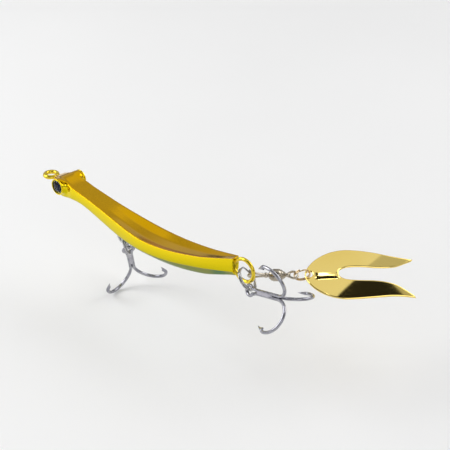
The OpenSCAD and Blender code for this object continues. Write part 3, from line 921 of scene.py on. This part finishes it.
# ---- swivel ----
TRAIL_DIR = Vector(JOINTS["barrel_spin"]["axis"]).normalized()
TRAIL_SIDE = flat((0, 0, 1), TRAIL_DIR).cross(TRAIL_DIR)
FRONT_ROLL, REAR_ROLL, BLADE_RING_ROLL, BLADE_ROLL = 125, 19, 112, 23
SWIVEL_WIRE_R, NECK_HALF = 0.33, 0.35
FRONT_LOOP_R, FRONT_NECK = 1.35, 3.3
REAR_LOOP_R, REAR_LOOP_X, REAR_NECK = 1.2, 11.5, -1.7
SHAFT_R, HEAD_R, HEAD_LEN = 0.50, 1.0, 0.6
WRAP_R, WRAP_WIRE = 0.5, 0.17  # turns of thin wire wound round the necks
FRONT_WRAPS, REAR_WRAPS = (2.45, 2.78), (10.35,)
# Where each pin's bead and inner head lie along the trailing line, with the bead's radius between
FRONT_PIN, REAR_PIN = (3.6, 0.78, 5.45), (9.8, 0.62, 8.15)
TRAIL_AT = joint_at("swivel_swing") + EYE_SLACK * TRAIL_DIR


def trail(x, roll):
    """A place at x along the trailing line, turned about it by roll degrees."""
    a = math.radians(roll)
    across = math.cos(a) * TRAIL_SIDE + math.sin(a) * TRAIL_DIR.cross(TRAIL_SIDE)
    return Place(TRAIL_AT + x * TRAIL_DIR, TRAIL_DIR, -TRAIL_DIR.cross(across))


def pear_eye(place, loop_r, neck):
    """A round wire loop drawn in to a neck that lies at neck along local X."""
    way = 1 if neck > 0 else -1
    reach = abs(neck)
    slant = math.acos(loop_r / math.hypot(reach, NECK_HALF))
    half_open = math.degrees(math.atan2(NECK_HALF, reach) + slant)
    bow = arc(0, loop_r, half_open, 360 - half_open, 60)
    line = [(reach, NECK_HALF), *bow, (reach, -NECK_HALF)]
    path = [place.at((way * x, way * y, 0)) for x, y in line]
    return round_wire(path, place.z, SWIVEL_WIRE_R, 16)


def swivel_pin(bead_x, bead_r, head_x):
    """A turned bead, a shaft through the end of the barrel and a head inside it."""
    shaft_at = 180 - math.degrees(math.asin(SHAFT_R / bead_r))
    profile = [(-x, r) for x, r in arc(0, bead_r, 2, shaft_at, 24)]
    reach = abs(head_x - bead_x)
    profile += [(reach - 0.02, SHAFT_R), (reach, HEAD_R)]
    profile += [(reach + HEAD_LEN, HEAD_R), (reach + HEAD_LEN, AXIS_R)]
    place = trail(bead_x, 0)
    if head_x < bead_x:
        place = Place(place.origin, -place.x, -place.z)
    return lathe(profile, place, 40)


# The barrel: (distance along the trailing line, radius), outside and then the hollow inside
BARREL = [
    (4.5, 0.56), (4.5, 0.86), (4.6, 0.98), (4.85, 1.16), (5.2, 1.52), (5.32, 1.58), (5.4, 1.50),
    (5.5, 1.50), (5.6, 1.66), (5.8, 1.74), (6.6, 1.75), (7.4, 1.74), (7.6, 1.66), (7.7, 1.50),
    (7.8, 1.50), (7.88, 1.58), (8.0, 1.53), (8.7, 1.05), (8.98, 0.90), (9.1, 0.80), (9.1, 0.56),
]
HOLLOW = [(8.3, 0.56), (8.3, 1.2), (5.3, 1.2), (5.3, 0.56)]


def swivel_end(name, x, roll, loop_r, neck, wraps, pin):
    """A wire eye on the swivel, with the turns round its neck and the pin that carries it."""
    shells = [pear_eye(trail(x, roll), loop_r, neck)]
    shells += [torus(trail(wrap, roll), WRAP_R, WRAP_WIRE) for wrap in wraps]
    shells.append(swivel_pin(*pin))
    piece(f"{name}_wire", shells, SWIVEL_WIRE, name, f"{name}_eye")


def make_swivel():
    """Two wire eyes whose pins turn in the ends of one crimped barrel."""
    swivel_end("swivel_front", 0, FRONT_ROLL, FRONT_LOOP_R, FRONT_NECK, FRONT_WRAPS, FRONT_PIN)
    barrel = lathe(BARREL + HOLLOW, trail(0, 0), 48, looped=True)
    piece("swivel_shell", [barrel], BARREL_METAL, "swivel_barrel", "swivel_barrel")
    swivel_end("swivel_rear", REAR_LOOP_X, REAR_ROLL, REAR_LOOP_R, REAR_NECK, REAR_WRAPS, REAR_PIN)


def make_blade_ring():
    place = trail(REAR_LOOP_X + EYE_SLACK + BLADE_RING_R, BLADE_RING_ROLL)
    turned = Place(place.origin, place.y, -place.z)
    ring = split_ring(turned, BLADE_RING_R, BLADE_RING_WIRE)
    piece("blade_ring_coil", [ring], SMALL_RING, "blade_ring", "blade_split_ring")


# ---- blade ----
OUTER = [
    (-1.3, 0), (-0.9, 1.8), (1.4, 4.9), (5, 7.3), (9, 8.3), (13, 8.1),
    (18, 7.4), (22.5, 6.7), (26.5, 6.4), (29, 6.4),
]
INNER = [
    (8.2, 0), (8.5, 1.0), (10, 2.0), (12.5, 2.4), (15, 2.5), (18, 2.5),
    (21, 2.7), (24, 3.3), (26.8, 4.7), (28.7, 5.8),
]
BLADE_T, HOLE_R = 0.6, 0.95
BLADE_PITCH, BLADE_SWING = math.radians(16), math.radians(-8)
LEG_TWIST, LEG_MIDDLE = math.radians(13), 4.8
CROWN, BLADE_HALF = 0.5, 8.3
SWEEP, SWEEP_FROM, SWEEP_LEN = 4.5, 3, 26
TWIST_FROM, TWIST_LEN, TWIST_SPLIT = 4, 18, 2.4  # the twist fades out between the two legs
RIDGE_FROM, RIDGE_RISE, RIDGE_TO, RIDGE_FALL = 0.8, 1.7, 9.5, 2.0
EDGE_BANDS = (0.05, 0.13, 0.24, 0.38)  # rows of points inside an edge, rounded up to the last
BAND_CLEAR = 0.93  # a band's point is dropped if it is nearer to an edge than this share
GRID, GRID_CLEAR = 0.55, 0.6  # spacing of the points inside, and how far they stay off an edge
GRID_FROM, GRID_TO = Vector((-1.2, -8.8)), Vector((29.8, 9.2))
AT_EDGE, SLOPE_STEP = 1e-4, 0.05
HOLE_ROUND = 0.995  # triangles are kept from this share of the hole's radius outwards

# Height of the root's cross section at points across it, from the lower side to the upper
RIDGE = [(-4.5, 0.0), (-1.9, -0.22), (-1.2, 0.03), (0.6, 0.30), (4.5, 0.0)]
RIDGE_BLUR = (-0.3, -0.2, -0.1, 0.0, 0.1, 0.2, 0.3)


def ridge(y):
    """The pressed ridge along the middle of the root, with its corners blurred."""
    total = 0.0
    for shift in RIDGE_BLUR:
        for (y0, z0), (y1, z1) in zip(RIDGE, RIDGE[1:]):
            if y0 <= y + shift < y1:
                total += z0 + (z1 - z0) * (y + shift - y0) / (y1 - y0)
    return total / len(RIDGE_BLUR)


def blade_height(x, y):
    """How far the middle of the sheet stands off its flat plane."""
    crowned = -CROWN * (y / BLADE_HALF) ** 2
    swept_back = -SWEEP * (max(0.0, x - SWEEP_FROM) / SWEEP_LEN) ** 2
    twist = math.copysign(math.tan(LEG_TWIST), y) * smooth((x - TWIST_FROM) / TWIST_LEN)
    twisted = twist * smooth(abs(y) / TWIST_SPLIT) * (abs(y) - LEG_MIDDLE)
    pressed = ridge(y) * smooth((x - RIDGE_FROM) / RIDGE_RISE) * smooth((RIDGE_TO - x) / RIDGE_FALL)
    return crowned + swept_back + twisted + pressed


def blade_normal(x, y):
    step = SLOPE_STEP
    rise_x = blade_height(x + step, y) - blade_height(x - step, y)
    rise_y = blade_height(x, y + step) - blade_height(x, y - step)
    return Vector((-rise_x, -rise_y, 2 * step)).normalized()


def blade_outline():
    """The blade's edge, anticlockwise: one leg, the slot, and the other leg."""
    outer, inner = (curve([Vector((x, -y)) for x, y in line], 8) for line in (OUTER, INNER))
    half = outer + inner[:0:-1]
    return half + [inner[0]] + [Vector((p.x, -p.y)) for p in half[:0:-1]]


def offset(loop, reach):
    """The loop moved inwards, to the left of its direction of travel."""
    made = []
    n = len(loop)
    for i, p in enumerate(loop):
        ahead = (loop[(i + 1) % n] - p).normalized()
        behind = (p - loop[i - 1]).normalized()
        along = (ahead + behind).normalized()
        made.append(p + reach * Vector((-along.y, along.x)))
    return made


def nearest_on(loop, p):
    """The point of the loop that is closest to p."""
    best, found = 1e9, None
    for a, b in zip(loop, loop[1:] + loop[:1]):
        near, share = geometry.intersect_point_line(p, a, b)
        near = a if share < 0 else b if share > 1 else near.to_2d()
        if (p - near).length < best:
            best, found = (p - near).length, near
    return found


def distance_to(loop, p):
    return (p - nearest_on(loop, p)).length


def inside(loop, p):
    odd = False
    for a, b in zip(loop, loop[1:] + loop[:1]):
        if (a.y > p.y) != (b.y > p.y) and p.x < a.x + (p.y - a.y) * (b.x - a.x) / (b.y - a.y):
            odd = not odd
    return odd


def blade_points(outline, hole):
    """Points of the flat blade, and the edges round its outline and its hole."""
    points, edges = [], []
    for loop in (outline, hole):
        base, n = len(points), len(loop)
        points += loop
        edges += [(base + i, base + (i + 1) % n) for i in range(n)]
        for reach in EDGE_BANDS:
            points += [p for p in offset(loop, reach) if distance_to(loop, p) > BAND_CLEAR * reach]
    for i in range(int((GRID_TO.x - GRID_FROM.x) / GRID)):
        for j in range(int((GRID_TO.y - GRID_FROM.y) / GRID)):
            p = GRID_FROM + GRID * Vector((i + 0.5 * (j % 2), j))
            clear = min(distance_to(outline, p), distance_to(hole, p)) > GRID_CLEAR
            if clear and inside(outline, p) and p.length > HOLE_R:
                points.append(p)
    return points, edges


def blade_sheet(outline, hole):
    """The flat blade as points and triangles."""
    points, edges = blade_points(outline, hole)
    points, _, triangles, _, _, _ = geometry.delaunay_2d_cdt(points, edges, [], 0, 1e-5)
    kept = []
    for triangle in triangles:
        middle = sum((points[i] for i in triangle), Vector((0, 0))) / 3
        if inside(outline, middle) and middle.length > HOLE_R * HOLE_ROUND:
            kept.append(triangle)
    return points, kept


def blade_place():
    """Where the flat blade lies: it trails, swung to one side and pitched up."""
    level = trail(0, BLADE_ROLL)
    along = math.cos(BLADE_SWING) * level.x + math.sin(BLADE_SWING) * level.y
    across = level.z.cross(along)
    raised = math.cos(BLADE_PITCH) * along + math.sin(BLADE_PITCH) * level.z
    return Place(joint_at("blade_swing"), raised, -raised.cross(across))


def thicken(place, p, edge):
    """The solid's upper and lower point and normal at p, which are one where p is on an edge."""
    deep = (edge - p).length
    z = blade_height(p.x, p.y)
    if deep < AT_EDGE:
        return [(place.at((p.x, p.y, z)), None)]
    share = min(1.0, deep / EDGE_BANDS[-1])
    bulge = math.sqrt(max(0.0, 1 - (1 - share) ** 2))
    away = (edge - p) / deep * (1 - share) * BLADE_T / 2 / EDGE_BANDS[-1]
    facing = blade_normal(p.x, p.y)
    made = []
    for side in (1, -1):
        point = place.at((p.x, p.y, z + side * bulge * BLADE_T / 2))
        made.append((point, place.turn(side * bulge * facing + Vector((*away, 0))).normalized()))
    return made


def make_blade():
    """A bent sheet of even thickness with rounded edges, forked from the root."""
    outline = blade_outline()
    hole = [Vector(p) for p in arc(0, HOLE_R, 360, 0, 40)[:-1]]
    flat_points, triangles = blade_sheet(outline, hole)
    place = blade_place()
    points, normals, upper, lower = [], [], {}, {}
    for i in sorted({i for triangle in triangles for i in triangle}):
        p = flat_points[i]
        edge = min((nearest_on(outline, p), nearest_on(hole, p)), key=lambda q: (q - p).length)
        upper[i] = len(points)
        for point, normal in thicken(place, p, edge):
            lower[i] = len(points)
            points.append(point)
            normals.append(normal)
    faces = []
    for a, b, c in triangles:
        faces.append((upper[a], upper[b], upper[c]))
        faces.append((lower[a], lower[c], lower[b]))
    made = piece("forked_blade", [(points, faces)], blade_gold(), "blade", "spinner_blade")
    smoothed = [n or v.normal for n, v in zip(normals, made.data.vertices)]
    made.data.normals_split_custom_set_from_vertices(smoothed)


# ---- stage ----
CAMERA_AZIMUTH, CAMERA_ELEVATION = 43, 29
CAMERA_AT = Vector((0.2488, -0.1853, 0.1507))
CAMERA_LENS = 85


def toward(azimuth, elevation):
    """Unit vector towards an azimuth and elevation in degrees."""
    turn, rise = math.radians(azimuth), math.radians(elevation)
    level = Vector((math.sin(turn), -math.cos(turn), 0)) * math.cos(rise)
    return level + Vector((0, 0, math.sin(rise)))


def aimed(direction):
    """Rotation of a camera or light that stands in that direction and looks back."""
    return (-direction).to_track_quat("-Z", "Y").to_euler()


def make_camera():
    data = bpy.data.cameras.new("camera")
    data.lens = CAMERA_LENS
    data.clip_start, data.clip_end = 0.01, 20
    camera = add_object("camera", data)
    camera.location = CAMERA_AT
    camera.rotation_euler = aimed(toward(CAMERA_AZIMUTH, CAMERA_ELEVATION))
    bpy.context.scene.camera = camera


FLOOR_HALF = 1.6
FLOOR_GAP = 0.0002  # how far the floor lies below the object
MIDDLE = (cad_box[0] + cad_box[1]) / 2


def make_floor():
    level = cad_box[0].z - FLOOR_GAP
    signs = [(-1, -1), (1, -1), (1, 1), (-1, 1)]
    corners = [(MIDDLE.x + FLOOR_HALF * x, FLOOR_HALF * y, level) for x, y in signs]
    mesh = bpy.data.meshes.new("floor")
    mesh.from_pydata(corners, [], [(0, 1, 2, 3)])
    grey, pale = (0.88, 0.88, 0.88), (0.92, 0.92, 0.92)
    paint = Surface("floor_paint", pale, 0.0, 0.6)
    paint.join(paint.mix(paint.span(paint.noise(0.004), 0.0, 1.0), grey, pale), "Base Color")
    mesh.materials.append(paint.material)
    add_object("floor", mesh)


def soft_light(name, azimuth, elevation, distance, size, watts):
    """A square area light that faces the object's middle."""
    direction = toward(azimuth, elevation)
    data = bpy.data.lights.new(name, "AREA")
    data.shape = "SQUARE"
    data.size = size
    data.energy = watts
    light = add_object(name, data)
    light.location = MIDDLE + direction * distance
    light.rotation_euler = aimed(direction)


# Brightness of the studio by the sine of the elevation above the horizon
STUDIO = [(0.0, 0.6), (0.02, 0.12), (0.09, 0.09), (0.17, 0.50), (0.42, 0.62), (0.65, 0.50), (1.0, 1.0)]
# The overhead panel's soft edges along X, Y and Z, and its levels. It lies behind one Y edge, and also
# before an X edge where that is behind another Y edge. The rest is the dark gap.
BEHIND_Y, AHEAD_X, AHEAD_Y = (0.045, 0.065), (0.02, 0.06), (-0.20, -0.12)
FAR_X, OVERHEAD_Z = (0.165, 0.185), (0.70, 0.74)
PANEL_LEVEL, FAR_PANEL_LEVEL, GAP_LEVEL = 0.82, 0.52, 0.02


def make_world():
    """A soft studio: graded sides and a white panel overhead with one dark corner."""
    world = bpy.data.worlds.new("studio")
    world.use_nodes = True
    graph = Graph(world.node_tree)
    split = graph.nodes.new("ShaderNodeSeparateXYZ")
    coordinates = graph.nodes.new("ShaderNodeTexCoord")
    graph.links.new(coordinates.outputs["Generated"], split.inputs["Vector"])
    x, y, z = (split.outputs[name] for name in "XYZ")

    def edge(output, ends, low=0.0, high=1.0):
        return graph.span(output, low, high, *ends, "SMOOTHSTEP")

    stops = [((sine + 1) / 2, (level, level, level)) for sine, level in STUDIO]
    sides = graph.ramp(graph.span(z, 0.0, 1.0, -1.0, 1.0), stops)
    ahead = graph.combine("MULTIPLY", edge(x, AHEAD_X, 1.0, 0.0), edge(y, AHEAD_Y))
    panel = graph.combine("MAXIMUM", edge(y, BEHIND_Y), ahead)
    panel = graph.combine("MULTIPLY", panel, edge(x, FAR_X, PANEL_LEVEL, FAR_PANEL_LEVEL))
    panel = graph.combine("MAXIMUM", panel, GAP_LEVEL)
    mixed = graph.mix(edge(z, OVERHEAD_Z), sides, panel)
    graph.links.new(mixed, graph.nodes["Background"].inputs["Color"])
    bpy.context.scene.world = world


# Name, azimuth and elevation in degrees, distance and size in metres, and watts
LIGHTS = [
    ("key", -57, 33, 0.9, 0.6, 4.6),
    ("top", 150, 42, 0.9, 0.6, 2.6),
    ("fill", 60, 25, 1.1, 0.5, 1.2),
    ("sparkle", -4, 81.4, 0.9, 0.10, 0.16),
]

bpy.context.scene.view_settings.view_transform = "Standard"
make_camera()
make_floor()
make_world()
for light in LIGHTS:
    soft_light(*light)

make_casting()
make_eyes()
make_nose_ring()
make_hanger()
make_tail_loop()
make_hook_ring("belly", BELLY_NORMAL, BELLY_HOOK_SIDE, BELLY_JOG)
make_hook_ring("tail", TAIL_NORMAL, TAIL_HOOK_SIDE, TAIL_JOG)
make_treble("belly", BELLY_SHANK, BELLY_SINGLE, BELLY_SIZE * HOOK_TRIM)
make_treble("tail", TAIL_SHANK, TAIL_SINGLE, HOOK_TRIM)
make_swivel()
make_blade_ring()
make_blade()
